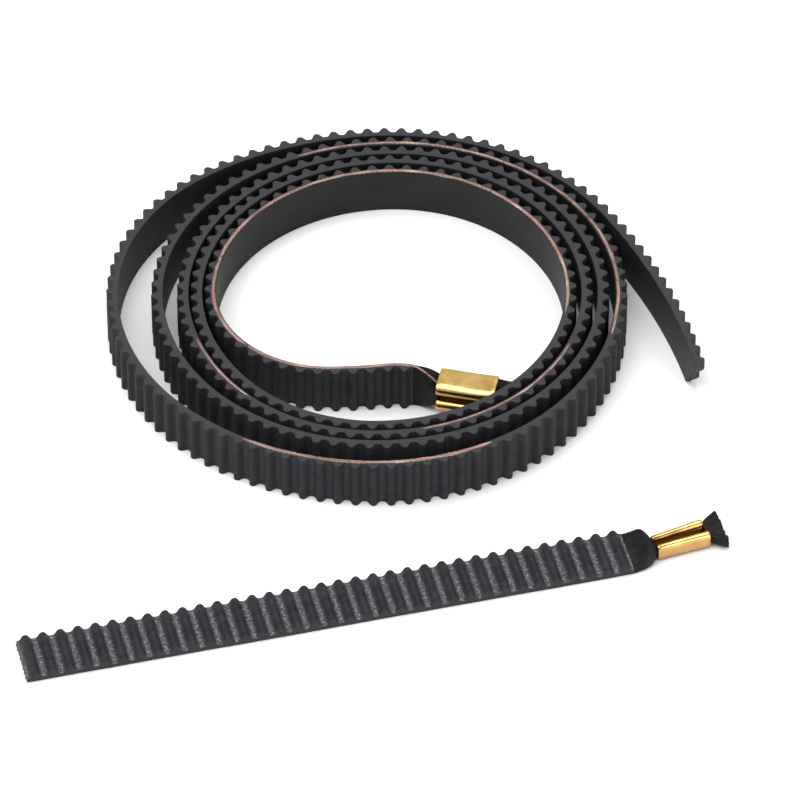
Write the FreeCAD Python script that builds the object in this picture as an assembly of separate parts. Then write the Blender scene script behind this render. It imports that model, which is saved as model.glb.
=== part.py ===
import FreeCAD, Part
import math
import os

from FreeCAD import Vector

# An open-ended toothed belt, 2 mm pitch and 6 mm wide, and a second short length of it.
# The long belt stands on its edge, wound in a loose coil with its teeth outwards. Its inner
# end is crimped in a brass ferrule and its outer end is a plain cut tail. The short length
# lies flat in front of the coil with its teeth up, and ends in a ferrule of its own.
#
# Lengths are millimetres, +Z is up. The origin is on the table, under the middle of the
# whole part. Heights h in the belt section are measured from the pitch line, which is the
# middle of the tension cords, and are positive towards the teeth.

# ------------------------------------------------------------------ belt section
PITCH = 2.0                  # tooth to tooth along the pitch line
WIDTH = 6.0
THICKNESS = 1.38             # smooth back to tooth crown
TOOTH_HEIGHT = 0.75          # crown above the land between two teeth
PITCH_DEPTH = 0.254          # pitch line below the land
CROWN_RADIUS = 0.42
ROOT_RADIUS = 0.30
LAND = 0.28                  # flat between the root fillets of two teeth
FACING = 0.08                # nylon fabric over teeth and lands
CORD_RADIUS = 0.125
CORD_COUNT = 8

H_LAND = PITCH_DEPTH
H_BACK = TOOTH_HEIGHT + PITCH_DEPTH - THICKNESS
CORD_SPACING = WIDTH / CORD_COUNT

# ------------------------------------------------------------------ places on the table
COIL_CENTRE = (-1.00, 15.66)
STRIP_START = (-39.48, -39.84)  # middle of the short length's plain cut end
STRIP_HEADING = 14.0         # degrees from +X

# ------------------------------------------------------------------ the coil's route
# How far the smooth back of each turn reaches from the coil's centre: left, back, right
# and front. The inner turns nearly touch, and the outer one stands off at the left.
TURNS = (
    (17.7, 19.2, 22.9, 22.8),
    (19.3, 20.9, 24.8, 24.4),
    (20.9, 22.5, 26.7, 26.0),
    (23.9, 24.1, 28.8, 29.3),
)
LAST_TURN_LEFT = 29.1
LAST_TURN_BACK = 25.7
SIDES_Y = -1.0               # where the left and right reaches lie
BACK_X = 3.0                 # where the back reaches lie
FRONT_X = 1.0                # where the front reaches lie
TAIL_ARCS = ((28.9, -38.0), (30.4, -20.0), (75.4, -21.7))  # radius, turn in degrees
LEAD_START = (15.80, -16.18)   # from the coil's centre to the crimped end's tip
LEAD_HEADING = 168.0
LEAD_ARCS = ((10.0, 20.0), (45.0, -8.0))

# ------------------------------------------------------------------ crimped ends
FERRULE_WALL = 0.35
LEG_DEPTH = 0.6              # how far the sheet's two legs bite into the belt
SEAM = 0.06                  # slit where the legs' tips meet
BEND_INSIDE = 0.05           # inner radius of the sheet's sharpest bends
# Each ferrule's length, its width across the belt, depth through it and the radius of its two
# lobes, all at its outer end, and how many times narrower its mouth is. Then the belt's taper
# before the ferrule, the stub beyond it, how far the stub leans to the teeth and how many
# times it spreads. Last are the height of the ferrule's middle over the pitch line, its shift
# across the belt at the mouth and the degrees it's canted there.
COIL_CRIMP = {
    "length": 6.8, "width": 4.2, "depth": 3.6, "lobe": 0.85, "mouth": 1.0,
    "taper": 3.0, "stub": 1.0, "lean": -0.75, "spread": 1.1, "height": 0.15, "shift": 0.0, "cant": 0.0,
}
STRIP_CRIMP = {
    "length": 6.3, "width": 3.2, "depth": 2.1, "lobe": 0.7, "mouth": 0.76,
    "taper": 3.0, "stub": 2.0, "lean": 0.0, "spread": 2.0, "height": 0.7, "shift": 0.6, "cant": 9.0,
}

# ------------------------------------------------------------------ flexing lengths
TEETH_PER_LINK = 4           # one rigid length between two hinges of the tail or lead
LEAD_LINKS = 2
TAIL_LINKS = 4
TAIL_TIP_TEETH = 2           # more on the last link, for its slanting end
TAIL_SLANT = 3.8             # how much longer the tail's upper edge is than its lower one
STRIP_RUN_TEETH = 26
STRIP_TIP_TEETH = 9
HINGE_GAP = 0.2              # open slot between two lengths of belt, at a land

OUT = "parts"
UP = Vector(0, 0, 1)


class Route:
    """A plan line of tangent straight runs and arcs, measured by the length along it."""

    def __init__(self, x, y, heading):
        self.x = x
        self.y = y
        self.heading = math.radians(heading)
        self.length = 0.0
        self.runs = []

    def _add(self, length, curvature):
        self.runs.append((self.length, self.x, self.y, self.heading, curvature))
        self.length += length
        self.x, self.y, self.heading = self.at(self.length)

    def line(self, length):
        self._add(length, 0.0)

    def arc(self, radius, turn):
        """A positive turn is to the left, in degrees."""
        self._add(radius * math.radians(abs(turn)), math.copysign(1.0 / radius, turn))

    def arc_to(self, x, y):
        chord = math.hypot(x - self.x, y - self.y)
        half = math.atan2(y - self.y, x - self.x) - self.heading
        half = math.remainder(half, 2 * math.pi)
        self.arc(chord / (2 * math.sin(abs(half))), math.degrees(2 * half))

    def reach(self, x, y, heading):
        """Two tangent arcs to a point, arriving on the heading."""
        here = Vector(self.x, self.y, 0)
        there = Vector(x, y, 0)
        leave = direction(self.heading)
        arrive = direction(math.radians(heading))
        span = there - here
        along = span.dot(leave + arrive)
        spread = 2 * (1 - leave.dot(arrive))
        handle = (math.sqrt(along ** 2 + spread * span.dot(span)) - along) / spread
        middle = (here + leave * handle + there - arrive * handle) * 0.5
        self.arc_to(middle.x, middle.y)
        self.arc_to(x, y)

    def at(self, station):
        """Plan position and heading at a station."""
        start, x, y, heading, curvature = self.runs[0]
        for run in self.runs:
            if run[0] > station:
                break
            start, x, y, heading, curvature = run
        run_length = station - start
        if curvature == 0:
            x += run_length * math.cos(heading)
            y += run_length * math.sin(heading)
            return x, y, heading
        end = heading + curvature * run_length
        x += (math.sin(end) - math.sin(heading)) / curvature
        y -= (math.cos(end) - math.cos(heading)) / curvature
        return x, y, end

    def point(self, station, h):
        """The point at section height h, on the tooth side of the pitch line if positive."""
        x, y, heading = self.at(station)
        return Vector(x - h * math.sin(heading), y + h * math.cos(heading), 0)

    def edges(self, start, end, h):
        """Edges at section height h from one station to another, one for each run."""
        stops = [run[0] for run in self.runs if start < run[0] < end]
        made = []
        for first, last in zip([start] + stops, stops + [end]):
            ends = self.point(first, h), self.point(last, h)
            middle = self.point((first + last) / 2, h)
            if middle.distanceToLine(ends[0], ends[1] - ends[0]) < 1e-9:
                made.append(Part.makeLine(*ends))
            else:
                made.append(Part.Arc(ends[0], middle, ends[1]).toShape())
        return made


def direction(angle):
    return Vector(math.cos(angle), math.sin(angle), 0)


def slanting_waste(route, end):
    """A wedge that cuts a belt's end on a slant, its upper edge reaching station `end`."""
    clear = WIDTH / 2
    steps = ((-clear, end + clear), (WIDTH + clear, end + clear))
    leans = [(up, end - TAIL_SLANT * (1 - up / WIDTH)) for up in (WIDTH + clear, -clear)]
    tip = route.point(end, 0.0)
    along = direction(route.at(end)[2])
    corners = [tip + along * (station - end) + UP * up for up, station in (*steps, *leans)]
    across = along.cross(UP) * clear
    wedge = Part.Face(Part.makePolygon(corners + corners[:1]))
    return wedge.translated(across * -1).extrude(across * 2)


def crimp_length(sizes):
    return sizes["stub"] + sizes["length"] + sizes["taper"]


def coil_route():
    """The pitch line of the long belt, from the tip of its crimped end to its tail."""
    route = Route(LEAD_START[0], LEAD_START[1], LEAD_HEADING)
    route.line(crimp_length(COIL_CRIMP))
    for radius, turn in LEAD_ARCS:
        route.arc(radius, turn)
    for left, back, right, front in TURNS:
        route.reach(H_BACK - left, SIDES_Y, 90)
        route.reach(BACK_X, back - H_BACK, 0)
        route.reach(right - H_BACK, SIDES_Y, -90)
        route.reach(FRONT_X, H_BACK - front, 180)
    route.reach(H_BACK - LAST_TURN_LEFT, SIDES_Y, 90)
    route.reach(BACK_X, LAST_TURN_BACK - H_BACK, 0)
    for radius, turn in TAIL_ARCS:
        route.arc(radius, turn)
    return route


def strip_route():
    route = Route(0, 0, 0)
    route.line((STRIP_RUN_TEETH + STRIP_TIP_TEETH) * PITCH + crimp_length(STRIP_CRIMP))
    return route


# ------------------------------------------------------------------ belt layers
def tooth_points(cover):
    """(along, height over land) down the far half of a tooth, `cover` under its surface.

    A round crown, a straight flank and a root fillet, each tangent to the next.
    """
    crown = CROWN_RADIUS - cover
    root = ROOT_RADIUS + cover
    crown_centre = TOOTH_HEIGHT - CROWN_RADIUS
    root_x = (PITCH - LAND) / 2
    rise = ROOT_RADIUS - crown_centre
    lean = math.atan2(rise, root_x) + math.acos((CROWN_RADIUS + ROOT_RADIUS) / math.hypot(root_x, rise))
    shoulder = (math.pi / 2 + lean) / 2
    return (
        (0.0, crown_centre + crown),
        (crown * math.cos(shoulder), crown_centre + crown * math.sin(shoulder)),
        (crown * math.cos(lean), crown_centre + crown * math.sin(lean)),
        (root_x - root * math.cos(lean), ROOT_RADIUS - root * math.sin(lean)),
        (root_x - root * math.cos(shoulder), ROOT_RADIUS - root * math.sin(shoulder)),
        (root_x, ROOT_RADIUS - root),
    )


def surface_edges(route, middle, start, end, cover):
    """Edges over the tooth at station `middle` and its half lands, from start to end."""
    half = tooth_points(cover)
    outline = [(middle - along, height) for along, height in reversed(half)]
    outline += [(middle + along, height) for along, height in half[1:]]
    outline = [(start, -cover)] + outline + [(end, -cover)]
    points = [route.point(station, H_LAND + height) for station, height in outline]
    return [Part.makeLine(a, b) for a, b in zip(points, points[1:])]


def toothed_layer(route, start, teeth, outer, inner):
    """One solid over a row of teeth. outer and inner give its edges over each tooth."""
    faces = []
    last = start + teeth * PITCH
    for number in range(teeth):
        middle = start + (number + 0.5) * PITCH
        first = middle - PITCH / 2
        second = middle + PITCH / 2
        if number == 0:
            first += HINGE_GAP / 2
        if number == teeth - 1:
            second = last - HINGE_GAP / 2
        outside = outer(middle, first, second)
        inside = inner(middle, first, second)
        opening = Part.makeLine(inside[0].firstVertex(True).Point, outside[0].firstVertex(True).Point)
        closing = Part.makeLine(outside[-1].lastVertex(True).Point, inside[-1].lastVertex(True).Point)
        floor = Part.Face(Part.Wire([opening] + outside + [closing] + inside[::-1]))
        walls = outside + inside
        if number == 0:
            walls = walls + [opening]
        if number == teeth - 1:
            walls = walls + [closing]
        faces += [floor, floor.translated(UP * WIDTH)]
        faces += [edge.extrude(UP * WIDTH) for edge in walls]
    return closed_solid(faces)


def closed_solid(faces):
    shell = Part.makeShell(faces)
    shell.sewShape()
    solid = Part.Solid(shell)
    if solid.Volume < 0:
        solid.reverse()
    return solid


def ribbon(route, start, end, low, high, bottom, top):
    """A plain layer of the belt between two section heights, and two heights over its edge."""
    near = route.edges(start, end, low)
    far = route.edges(start, end, high)
    ends = [
        Part.makeLine(route.point(start, low), route.point(start, high)),
        Part.makeLine(route.point(end, low), route.point(end, high)),
    ]
    outline = Part.Wire(Part.__sortEdges__(near + far + ends))
    return Part.Face(outline).translated(UP * bottom).extrude(UP * (top - bottom))


def tension_cords(route, start, end):
    """The round cords on the pitch line, from the belt's lower edge to its upper one."""
    spine = Part.Wire(route.edges(start, end, 0.0))
    heading = route.at(start)[2]
    ring = Part.makeCircle(CORD_RADIUS, route.point(start, 0.0), direction(heading))
    cord = spine.makePipeShell([Part.Wire(ring)], True, False)
    return [cord.translated(UP * (CORD_SPACING * (k + 0.5))) for k in range(CORD_COUNT)]


def cord_bed(route, start, end):
    """The rubber between the cords, as strips that the cords lie against."""
    strips = []
    bottom = 0.0
    for k in range(CORD_COUNT):
        cord_middle = CORD_SPACING * (k + 0.5)
        top = cord_middle - CORD_RADIUS
        strips.append(ribbon(route, start, end, -CORD_RADIUS, CORD_RADIUS, bottom, top))
        bottom = cord_middle + CORD_RADIUS
    strips.append(ribbon(route, start, end, -CORD_RADIUS, CORD_RADIUS, bottom, WIDTH))
    return strips


def belt_length(route, start, teeth):
    """Every layer of a length of belt that starts and ends in the middle of a land."""
    def bare(middle, first, last):
        return surface_edges(route, middle, first, last, 0.0)

    def covered(middle, first, last):
        return surface_edges(route, middle, first, last, FACING)

    def on_cords(middle, first, last):
        return route.edges(first, last, CORD_RADIUS)

    first = start + HINGE_GAP / 2
    last = start + teeth * PITCH - HINGE_GAP / 2
    return {
        "backing": ribbon(route, first, last, H_BACK, -CORD_RADIUS, 0.0, WIDTH),
        "cord_bed": Part.makeCompound(cord_bed(route, first, last)),
        "cords": Part.makeCompound(tension_cords(route, first, last)),
        "teeth": toothed_layer(route, start, teeth, covered, on_cords),
        "facing": toothed_layer(route, start, teeth, bare, covered),
    }


# ------------------------------------------------------------------ crimped ends
def sheet_outline(sizes, inset, x, scale):
    """The two sides of a crimped sheet at x, each from its leg's foot round the lobe to the flat.

    The flat is at -Y and the two lobes at +Y, with a V-shaped groove between them where the
    sheet's edges turn in. Each side is given as the foot of its leg and its edges.
    """
    lobe = sizes["lobe"] * scale
    half_width = sizes["width"] * scale / 2
    centre_y = sizes["depth"] / 2 - lobe
    centre_z = half_width - lobe
    radius = lobe - inset
    side = half_width - inset
    flat = inset - sizes["depth"] / 2
    bend = max(lobe / 2, FERRULE_WALL) - inset + BEND_INSIDE
    back = bend * (1 - math.sqrt(0.5))
    sides = []
    for sign in (1, -1):
        foot = Vector(x, centre_y - LEG_DEPTH, sign * (SEAM / 2 + inset))
        shoulder = Vector(x, centre_y, sign * (centre_z - radius))
        crest = Vector(x, centre_y + radius, sign * centre_z)
        outer = Vector(x, centre_y, sign * side)
        above_bend = Vector(x, flat + bend, sign * side)
        in_bend = Vector(x, flat + back, sign * (side - back))
        below_bend = Vector(x, flat, sign * (side - bend))
        edges = [
            Part.makeLine(foot, shoulder),
            Part.Arc(shoulder, crest, outer).toShape(),
            Part.makeLine(outer, above_bend),
            Part.Arc(above_bend, in_bend, below_bend).toShape(),
            Part.makeLine(below_bend, Vector(x, flat, 0)),
        ]
        sides.append((foot, edges))
    return sides


def ferrule(sizes):
    """A strip of brass sheet rolled round the belt, its two edges turned in at a groove."""
    outlines = []
    for x, scale in ((0.0, sizes["mouth"]), (sizes["length"], 1.0)):
        outside = sheet_outline(sizes, 0.0, x, scale)
        inside = sheet_outline(sizes, FERRULE_WALL, x, scale)
        edges = []
        for (outer_foot, outer_edges), (inner_foot, inner_edges) in zip(outside, inside):
            edges += outer_edges + inner_edges + [Part.makeLine(outer_foot, inner_foot)]
        outlines.append(Part.Wire(Part.__sortEdges__(edges)))
    return Part.makeLoft(outlines, True, True)


def crushed_core(sizes):
    """The belt inside the ferrule, pressed to fill the sheet and bitten by its two legs."""
    outlines = []
    for x, scale in ((0.0, sizes["mouth"]), (sizes["length"], 1.0)):
        (first_foot, first_edges), (second_foot, second_edges) = sheet_outline(sizes, FERRULE_WALL, x, scale)
        edges = first_edges + second_edges + [Part.makeLine(first_foot, second_foot)]
        outlines.append(Part.Wire(Part.__sortEdges__(edges)))
    return Part.makeLoft(outlines, True, True)


def block_section(x, y, half_width, half_depth):
    """An eight-sided section across local X, its corners cut by a quarter of its depth."""
    cut = half_depth / 2
    corners = (
        (half_depth, half_width - cut),
        (half_depth - cut, half_width),
        (cut - half_depth, half_width),
        (-half_depth, half_width - cut),
        (-half_depth, cut - half_width),
        (cut - half_depth, -half_width),
        (half_depth - cut, -half_width),
        (half_depth, cut - half_width),
    )
    points = [Vector(x, y + across, up) for across, up in corners]
    return Part.makePolygon(points + points[:1])


def canted(shape, sizes, share=1.0):
    """A shape turned and shifted across the belt, as the ferrule is, or by a share of that."""
    shape.rotate(Vector(), Vector(0, 1, 0), share * sizes["cant"])
    return shape.translated(Vector(0, 0, share * sizes["shift"]))


def crimped_end(sizes):
    """The belt's last stretch: narrowing to the ferrule, pressed in it, and its frayed stub."""
    inner_half_width = sizes["width"] / 2 - FERRULE_WALL
    mouth_half_width = sizes["mouth"] * sizes["width"] / 2 - FERRULE_WALL
    inner_half_depth = sizes["depth"] / 2 - FERRULE_WALL
    belt_half_depth = (H_LAND - H_BACK) / 2
    belt_middle = (H_LAND + H_BACK) / 2 - sizes["height"]
    shoulder = 0.6 * sizes["taper"]
    length = sizes["length"]
    lean = sizes["lean"]
    spread_half_width = sizes["spread"] * inner_half_width
    narrowing = Part.makeLoft([
        block_section(HINGE_GAP / 2 - sizes["taper"], belt_middle, WIDTH / 2, belt_half_depth),
        canted(block_section(-shoulder, 0.7 * belt_middle, 0.46 * WIDTH, 1.1 * belt_half_depth), sizes, 0.2),
        canted(block_section(0, 0, mouth_half_width, inner_half_depth), sizes),
    ], True, True)
    frayed = Part.makeLoft([
        block_section(length, 0.4 * lean, 0.9 * inner_half_width, 0.75 * inner_half_depth),
        block_section(length + sizes["stub"], lean, spread_half_width, 0.7 * inner_half_depth),
    ], True, True)
    return narrowing.fuse([canted(crushed_core(sizes), sizes), canted(frayed, sizes)])


def crimp(sizes):
    """Ferrule and crimped end round local X, the ferrule's mouth at the origin."""
    lift = Vector(0, sizes["height"], WIDTH / 2)
    sheet = canted(ferrule(sizes), sizes)
    return {"ferrule": sheet.translated(lift), "crimped_end": crimped_end(sizes).translated(lift)}


# ------------------------------------------------------------------ the two lengths of belt
def coil_parts():
    """Nodes of the long belt, and the stations of its hinges."""
    route = coil_route()
    lead_length = crimp_length(COIL_CRIMP)
    teeth = int((route.length - lead_length) / PITCH)
    link = TEETH_PER_LINK * PITCH
    parts = {}
    hinges = {}
    station = lead_length
    for number in range(LEAD_LINKS, 0, -1):
        layers = belt_length(route, station, TEETH_PER_LINK)
        parts.update({f"lead_{number}_{layer}": shape for layer, shape in layers.items()})
        station += link
        hinges[f"lead_{number}"] = station
    wound = teeth - (LEAD_LINKS + TAIL_LINKS) * TEETH_PER_LINK - TAIL_TIP_TEETH
    layers = belt_length(route, station, wound)
    for number, cord in enumerate(layers.pop("cords").Solids, 1):
        parts[f"coil_cord_{number}"] = cord
    parts.update({f"coil_{layer}": shape for layer, shape in layers.items()})
    station += wound * PITCH
    for number in range(1, TAIL_LINKS + 1):
        hinges[f"tail_{number}"] = station
        last = number == TAIL_LINKS
        tail_teeth = TEETH_PER_LINK + TAIL_TIP_TEETH if last else TEETH_PER_LINK
        layers = belt_length(route, station, tail_teeth)
        station += tail_teeth * PITCH
        if last:
            waste = slanting_waste(route, station)
            layers = {layer: shape.cut(waste) for layer, shape in layers.items()}
        parts.update({f"tail_{number}_{layer}": shape for layer, shape in layers.items()})
    mouth = route.point(lead_length - COIL_CRIMP["taper"], 0.0)
    for name, shape in crimp(COIL_CRIMP).items():
        shape.rotate(Vector(0, 0, WIDTH / 2), Vector(0, 1, 0), 180)
        shape.rotate(Vector(), UP, LEAD_HEADING)
        parts[f"coil_{name}"] = shape.translated(mouth)
    shift = Vector(COIL_CENTRE[0], COIL_CENTRE[1], 0)
    parts = {name: shape.translated(shift) for name, shape in parts.items()}
    places = {name: route.point(place, 0.0) + shift for name, place in hinges.items()}
    print(f"long belt: {teeth} teeth, route {route.length:.1f} mm")
    return parts, places


def strip_parts():
    """Nodes of the short length, laid flat with its teeth up, and the place of its flexure."""
    route = strip_route()
    split = STRIP_RUN_TEETH * PITCH
    end = split + STRIP_TIP_TEETH * PITCH
    parts = {}
    for section, start, teeth in (("run", 0.0, STRIP_RUN_TEETH), ("tip", split, STRIP_TIP_TEETH)):
        layers = belt_length(route, start, teeth)
        parts.update({f"strip_{section}_{layer}": shape for layer, shape in layers.items()})
    mouth = route.point(end + STRIP_CRIMP["taper"], 0.0)
    for name, shape in crimp(STRIP_CRIMP).items():
        parts[f"strip_{name}"] = shape.translated(mouth)
    laid = {}
    for name, shape in parts.items():
        flat = shape.translated(Vector(0, -H_BACK, -WIDTH / 2))
        flat.rotate(Vector(), Vector(1, 0, 0), 90)
        flat.rotate(Vector(), UP, STRIP_HEADING)
        laid[name] = flat.translated(Vector(STRIP_START[0], STRIP_START[1], 0))
    along = direction(math.radians(STRIP_HEADING))
    flexure = Vector(STRIP_START[0], STRIP_START[1], -H_BACK) + along * split
    print(f"short length: {STRIP_RUN_TEETH + STRIP_TIP_TEETH} teeth, {end:.1f} mm to its taper")
    return laid, {"strip_tip": flexure}


def main():
    os.makedirs(OUT, exist_ok=True)
    coil, hinges = coil_parts()
    strip, flexures = strip_parts()
    for name, place in {**hinges, **flexures}.items():
        print(f"hinge {name}: {place.x:.3f} {place.y:.3f} {place.z:.3f}")
    box = FreeCAD.BoundBox()
    for name, shape in {**coil, **strip}.items():
        shape.exportStep(f"{OUT}/{name}.step")
        box.add(shape.BoundBox)
        if not shape.isValid():
            print(f"{name} is not valid")
    print(f"box {box}")


main()
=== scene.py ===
import math
from types import SimpleNamespace

import bmesh
import bpy
import numpy as np
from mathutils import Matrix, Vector


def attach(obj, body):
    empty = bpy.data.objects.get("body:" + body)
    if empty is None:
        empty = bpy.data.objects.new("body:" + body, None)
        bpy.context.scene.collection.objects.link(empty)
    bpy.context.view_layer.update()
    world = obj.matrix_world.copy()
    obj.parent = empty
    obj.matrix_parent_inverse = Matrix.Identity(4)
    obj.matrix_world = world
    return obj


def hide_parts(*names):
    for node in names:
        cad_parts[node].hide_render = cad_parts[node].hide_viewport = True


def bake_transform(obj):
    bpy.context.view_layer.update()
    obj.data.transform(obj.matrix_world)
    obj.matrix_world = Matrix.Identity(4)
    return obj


# The looks of an open-ended toothed belt: a long belt coiled on its edge, teeth outwards,
# and a short length lying flat in front of it, teeth up. Each is crimped in a brass ferrule
# at one end. Belt sizes below are millimetres, as in the design, and meshes are made in
# metres. Stations are lengths along a belt's pitch line, and heights h in its section are
# measured from that line, positive towards the teeth.

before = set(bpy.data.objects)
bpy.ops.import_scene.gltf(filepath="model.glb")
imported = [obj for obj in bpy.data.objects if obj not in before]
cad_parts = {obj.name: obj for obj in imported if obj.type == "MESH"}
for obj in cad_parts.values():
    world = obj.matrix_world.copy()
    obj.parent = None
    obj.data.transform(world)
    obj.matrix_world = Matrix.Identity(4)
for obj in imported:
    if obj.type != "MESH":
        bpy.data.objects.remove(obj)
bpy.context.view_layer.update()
MM = 0.001

# ------------------------------------------------------------------ belt section
PITCH = 2.0
WIDTH = 6.0
H_LAND = 0.254
H_BACK = -0.376
TOOTH_HEIGHT = 0.75
CROWN_RADIUS = 0.42
ROOT_RADIUS = 0.30
LAND = 0.28
FACING = 0.08
CORD_COUNT = 8
CORD_RADIUS = 0.125
CORD_SIDES = 12
CORD_BAND = (-0.14, 0.12)    # heights between which the cut edge shows the cords' layer
THREAD = 0.21                # spacing of the facing's threads
STRAND_LAY = 0.62            # length of one twist of a cord's strands

# ------------------------------------------------------------------ wear and unevenness
EDGE_ROUND = 0.05            # worn corner of the smooth back
EDGE_WANDER = 0.03           # how far the upper cut edge strays from the belt's width
CREST_WANDER = 0.012         # how far the tooth crests stray from their height
EDGE_PROUD = 0.012           # how far the cords' layer and the facing stand out of the cut
BARE_HEIGHT = -0.06          # where a bare cord lies in the section
BARE_STEP = 0.12             # spacing of a bare cord's rings
HINGE_SPREAD = 1.4           # how far each side of a hinge flexing works out a point; nothing is bent

# ------------------------------------------------------------------ seeds
COIL_SEED = 0.4              # phases of the two belts' wander
STRIP_SEED = 1.9
TIP_SEED = 5                 # draws for the cord tips, and for the two crimped ends
COIL_CRIMP_SEED = 3
STRIP_CRIMP_SEED = 8

# ------------------------------------------------------------------ the coil's route
COIL_CENTRE = (-1.00, 15.66)
TURNS = (                    # reach to the left, back, right and front of each turn
    (17.7, 19.2, 22.9, 22.8),
    (19.3, 20.9, 24.8, 24.4),
    (20.9, 22.5, 26.7, 26.0),
    (23.9, 24.1, 28.8, 29.3),
)
LAST_TURN_LEFT = 29.1
LAST_TURN_BACK = 25.7
SIDES_Y = -1.0               # where the turns reach their left and right, and then back and front
BACK_X = 3.0
FRONT_X = 1.0
TAIL_ARCS = ((28.9, -38.0), (30.4, -20.0), (75.4, -21.7))
LEAD_START = (15.80, -16.18)
LEAD_HEADING = 168.0
LEAD_ARCS = ((10.0, 20.0), (45.0, -8.0))
COIL_TEETH = 371
LINK_TEETH = 4
LEAD_LINKS = 2
TAIL_LINKS = 4
TAIL_TIP_TEETH = 2
TAIL_SLANT = 3.8             # how much longer the tail's upper edge is than its lower one

# ------------------------------------------------------------------ the short length
STRIP_START = (-39.48, -39.84)
STRIP_HEADING = 14.0
STRIP_RUN_TEETH = 26
STRIP_TIP_TEETH = 9

# ------------------------------------------------------------------ crimped ends
# length, width, depth, lobe: the ferrule's own sizes, the last one the radius of its lobes
# mouth, height, shift, cant: its mouth's share of its width, and how it sits on the belt
# taper, near, far, bulge, fill, slope: how the belt runs in to the mouth, with the exponents
#     of its two edges, its swelling, how far it fills the mouth and how its edge leans in
# lean, crease, stub...: the cut stub, its place, folds, spread, depth and slanting end
FERRULE_WALL = 0.35
LEG_DEPTH = 0.6
SEAM = 0.06
BEND_INSIDE = 0.05
COIL_CRIMP = {
    "length": 6.8, "width": 4.2, "depth": 3.6, "lobe": 0.85, "mouth": 1.0,
    "taper": 3.0, "stub": 1.0, "lean": -0.95, "height": 0.15, "shift": 0.0, "cant": 0.0,
    "near": 1.8, "far": 1.8, "bulge": 0.0, "fill": 0.72, "crease": 0.05, "slope": 0.6,
    "stub_over": 0.4, "stub_start": 1.14, "stub_end": 0.80, "stub_depth": 0.75,
    "stub_shift": 0.0, "slant": 0.0,
}
STRIP_CRIMP = {
    "length": 6.3, "width": 3.2, "depth": 2.1, "lobe": 0.58, "mouth": 0.76,
    "taper": 3.0, "stub": 2.0, "lean": 0.0, "height": 0.7, "shift": 0.6, "cant": 9.0,
    "near": 1.5, "far": 12.0, "bulge": 0.35, "fill": 1.0, "crease": 0.16, "slope": 0.0,
    "stub_over": 0.0, "stub_start": 0.95, "stub_end": 2.05, "stub_depth": 1.0,
    "stub_shift": 0.22, "slant": 0.12,
}
FERRULE_STEPS = (0.0, 0.01, 0.03, 0.06, 0.14, 0.3, 0.45, 0.6, 0.7, 0.8, 0.88, 0.94, 0.97, 0.99, 1.0)
STUB_INSIDE = 0.1            # how far inside the ferrule the stub's shape begins
SECTION_POINTS = 72
FOLD_WAVES = ((5.5, 0.8, 1.0), (12.0, -1.1, 0.6), (1.5, 2.4, 0.35))     # across, along, depth
FRAY = 0.06                  # raggedness of the stub's cut face
FRAY_SHARES = (0.05, 0.2, 0.5, 0.9)
LEAD_LENGTH = COIL_CRIMP["stub"] + COIL_CRIMP["length"] + COIL_CRIMP["taper"]


# ------------------------------------------------------------------ routes
class Route:
    """A plan line of tangent straight runs and arcs, measured by the length along it."""

    def __init__(self, x, y, heading):
        self.here = np.array([x, y], float)
        self.heading = math.radians(heading)
        self.length = 0.0
        self.runs = []

    def add(self, length, curvature):
        self.runs.append((self.length, self.here[0], self.here[1], self.heading, curvature))
        self.length += length
        x, y, heading = self.at(np.array([self.length]))
        self.here = np.array([x[0], y[0]])
        self.heading = heading[0]

    def arc(self, radius, turn):
        self.add(radius * math.radians(abs(turn)), math.copysign(1.0 / radius, turn))

    def arc_to(self, point):
        """An arc that leaves along the heading and ends at a point."""
        span = point - self.here
        half = math.atan2(span[1], span[0]) - self.heading
        half = math.remainder(half, 2 * math.pi)
        chord = np.linalg.norm(span)
        self.arc(chord / (2 * math.sin(abs(half))), math.degrees(2 * half))

    def reach(self, x, y, heading):
        """Two arcs with a common tangent, to a point and a heading there."""
        there = np.array([x, y], float)
        leave = np.array([math.cos(self.heading), math.sin(self.heading)])
        arrive = np.array([math.cos(math.radians(heading)), math.sin(math.radians(heading))])
        span = there - self.here
        along = span @ (leave + arrive)
        spread = 2 * (1 - leave @ arrive)
        handle = (math.sqrt(along ** 2 + spread * (span @ span)) - along) / spread
        self.arc_to((self.here + leave * handle + there - arrive * handle) / 2)
        self.arc_to(there)

    def at(self, stations):
        """Plan positions and headings at an array of stations."""
        table = np.array(self.runs)
        row = np.clip(np.searchsorted(table[:, 0], stations + 1e-9) - 1, 0, len(table) - 1)
        start, x, y, heading, bend = table[row].T
        run = stations - start
        end = heading + bend * run
        straight = np.abs(bend) < 1e-12
        safe = np.where(straight, 1.0, bend)
        x = x + np.where(straight, run * np.cos(heading), (np.sin(end) - np.sin(heading)) / safe)
        y = y + np.where(straight, run * np.sin(heading), (np.cos(heading) - np.cos(end)) / safe)
        return x, y, end


def coil_route():
    route = Route(LEAD_START[0], LEAD_START[1], LEAD_HEADING)
    route.add(LEAD_LENGTH, 0.0)
    for radius, turn in LEAD_ARCS:
        route.arc(radius, turn)
    for left, back, right, front in TURNS:
        route.reach(H_BACK - left, SIDES_Y, 90)
        route.reach(BACK_X, back - H_BACK, 0)
        route.reach(right - H_BACK, SIDES_Y, -90)
        route.reach(FRONT_X, H_BACK - front, 180)
    route.reach(H_BACK - LAST_TURN_LEFT, SIDES_Y, 90)
    route.reach(BACK_X, LAST_TURN_BACK - H_BACK, 0)
    for radius, turn in TAIL_ARCS:
        route.arc(radius, turn)
    return route


COIL = coil_route()


def quarter_stations():
    """Stations where each turn reaches its left, back, right and front."""
    arcs_before = 1 + len(LEAD_ARCS)
    ends = [run[0] for run in COIL.runs[arcs_before + 2::2]]
    return [ends[4 * k:4 * k + 4] for k in range(len(TURNS) + 1)]


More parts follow.
